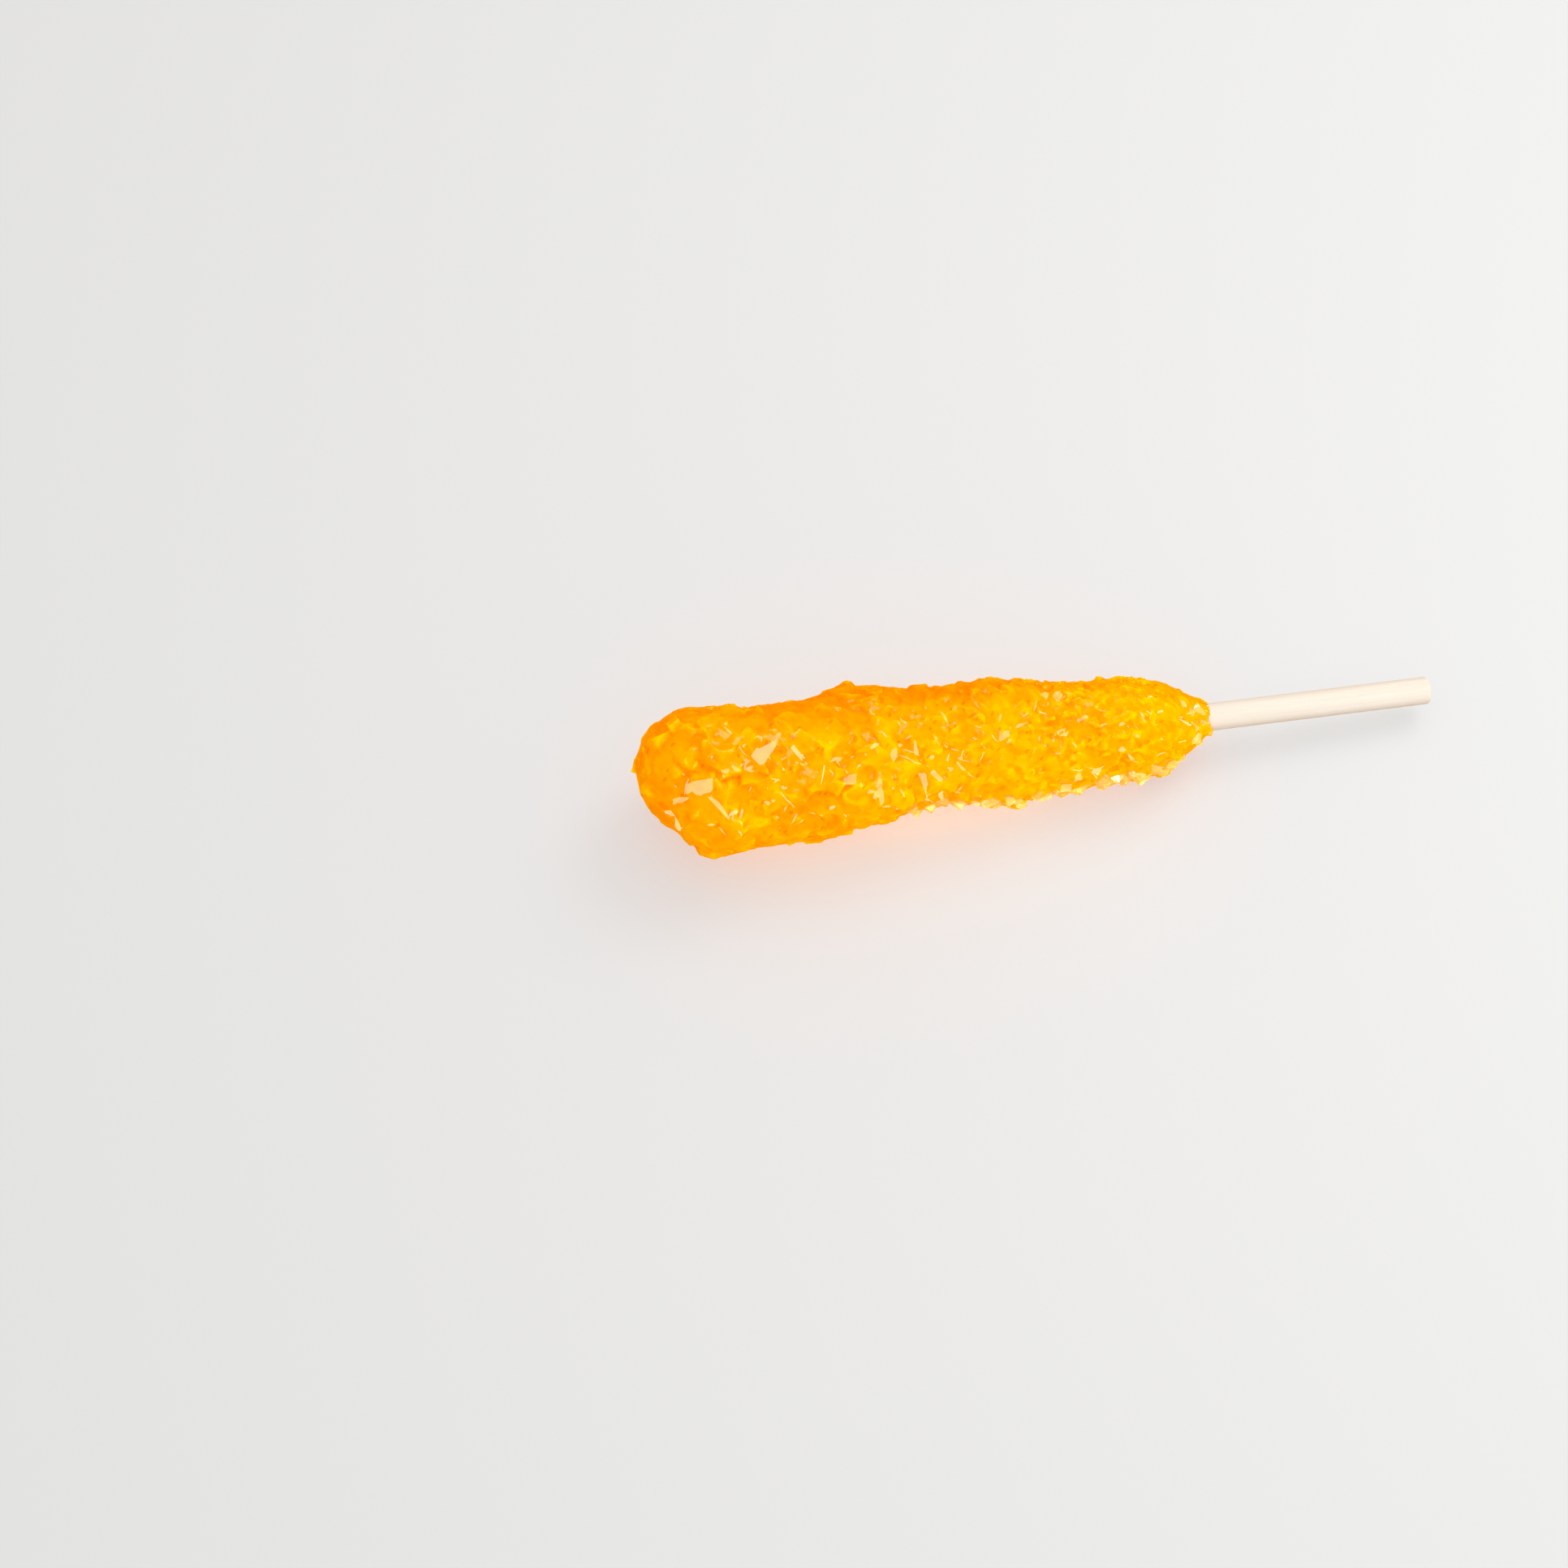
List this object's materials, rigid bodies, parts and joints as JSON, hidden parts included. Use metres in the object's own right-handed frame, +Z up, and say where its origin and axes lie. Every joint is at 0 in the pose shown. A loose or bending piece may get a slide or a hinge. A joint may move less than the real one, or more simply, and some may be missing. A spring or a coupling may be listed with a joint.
{
  "type": "rock candy stick",
  "caption": "Club-shaped mass of fused orange sugar crystals grown round one end of a plain round wooden stick, lying on its side.",
  "frame": {"origin": "under the middle of the whole object's bounding box, on the surface it lies on", "axes": "+X along the stick towards its bare end, which slopes down 3.7 degrees; +Z up; -Y to the front, where the shown side faces"},
  "size_m": [0.1464, 0.0294, 0.028],
  "materials": {
    "wood": "pale, bare, smooth",
    "sugar": "clear orange, glossy facets"
  },
  "bodies": {
    "root": {"stick": "wood", "candy": "sugar"}
  },
  "joints": []
}
